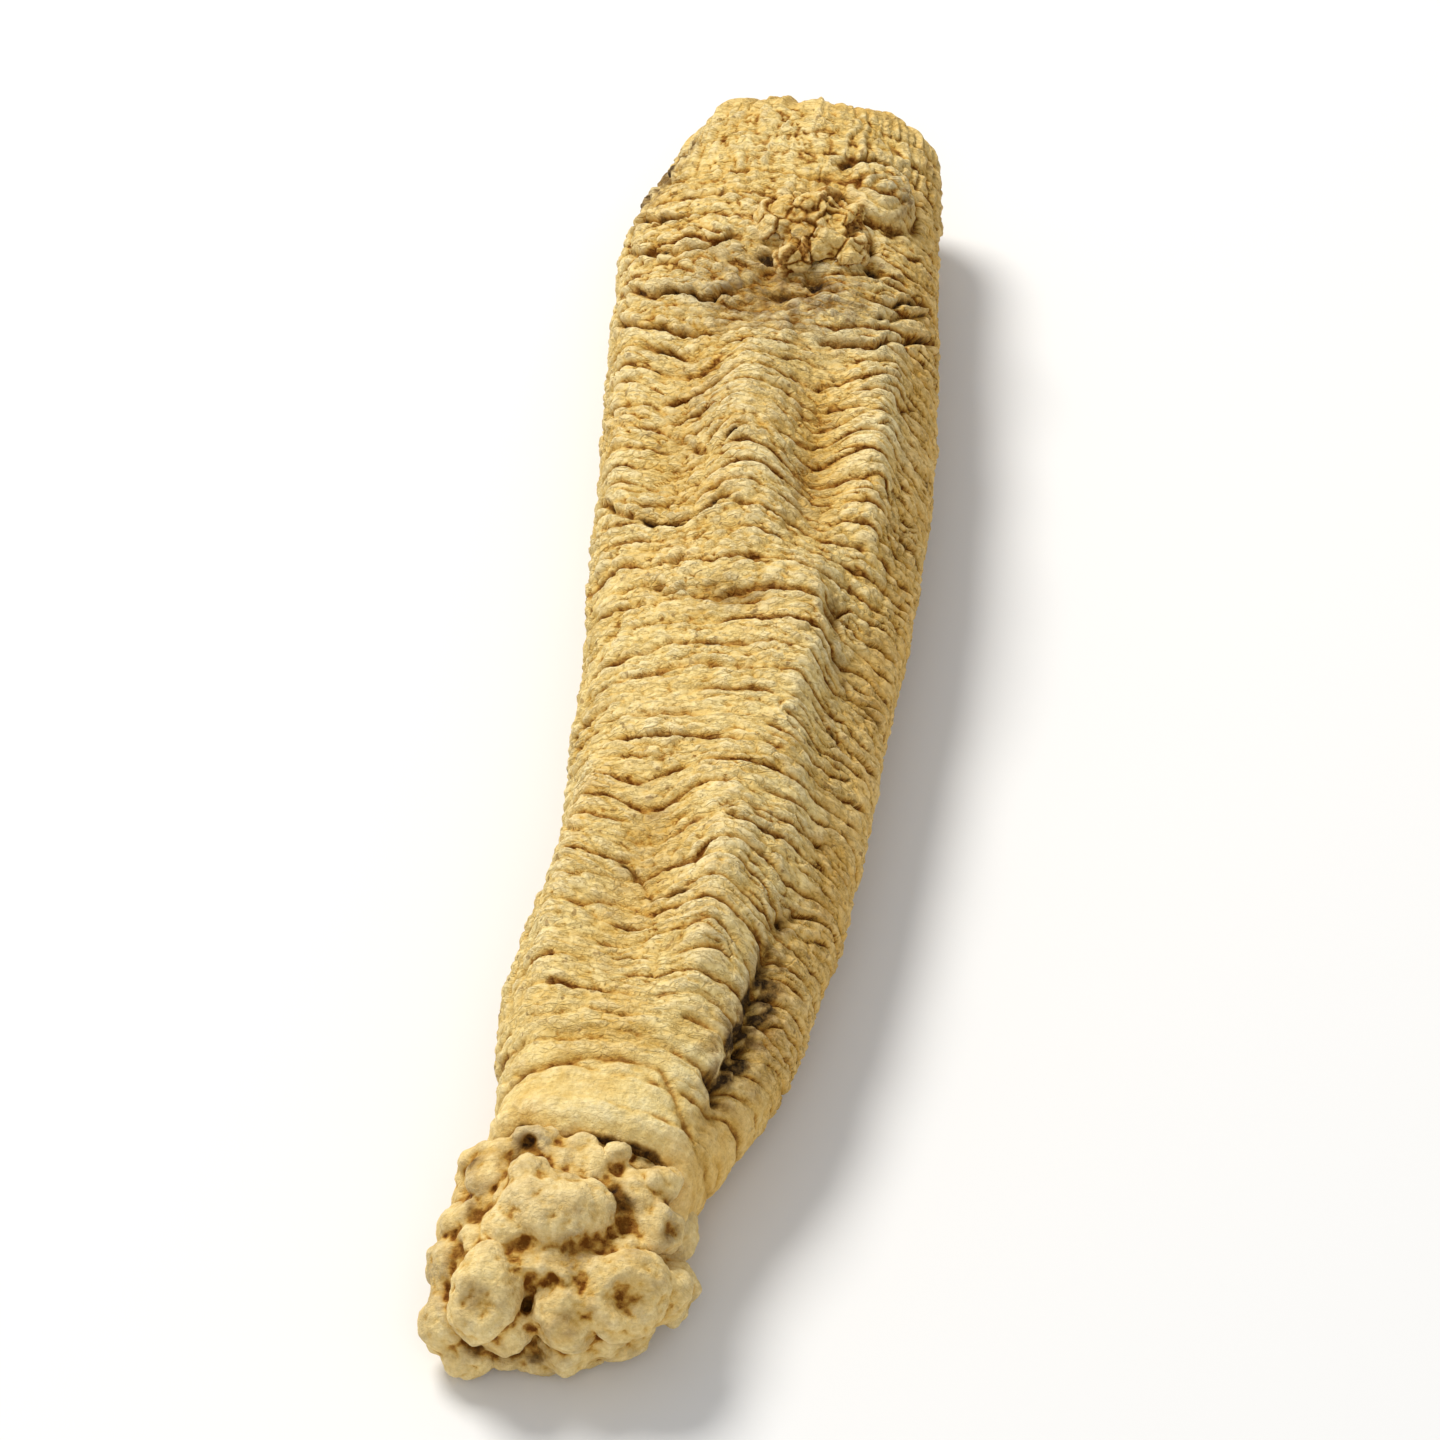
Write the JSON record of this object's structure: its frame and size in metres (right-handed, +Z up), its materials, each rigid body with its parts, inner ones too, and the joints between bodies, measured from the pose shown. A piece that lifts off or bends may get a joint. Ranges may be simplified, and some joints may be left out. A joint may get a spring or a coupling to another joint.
{
  "type": "codonopsis root",
  "caption": "Dried codonopsis root with a knobby crown, close cross wrinkles, long ridges and a flat cut end, lying on its side.",
  "frame": {"origin": "on the ground, under the middle of the root's bounding box", "axes": "+Y along the root, from its crown to its cut end; +Z up from the side it lies on; +X to its right, seen from the crown"},
  "size_m": [0.0202, 0.093, 0.0126],
  "materials": {
    "dried_root": "dry, dull, straw to tan"
  },
  "bodies": {
    "root": {"codonopsis_root": "dried_root"}
  },
  "joints": []
}
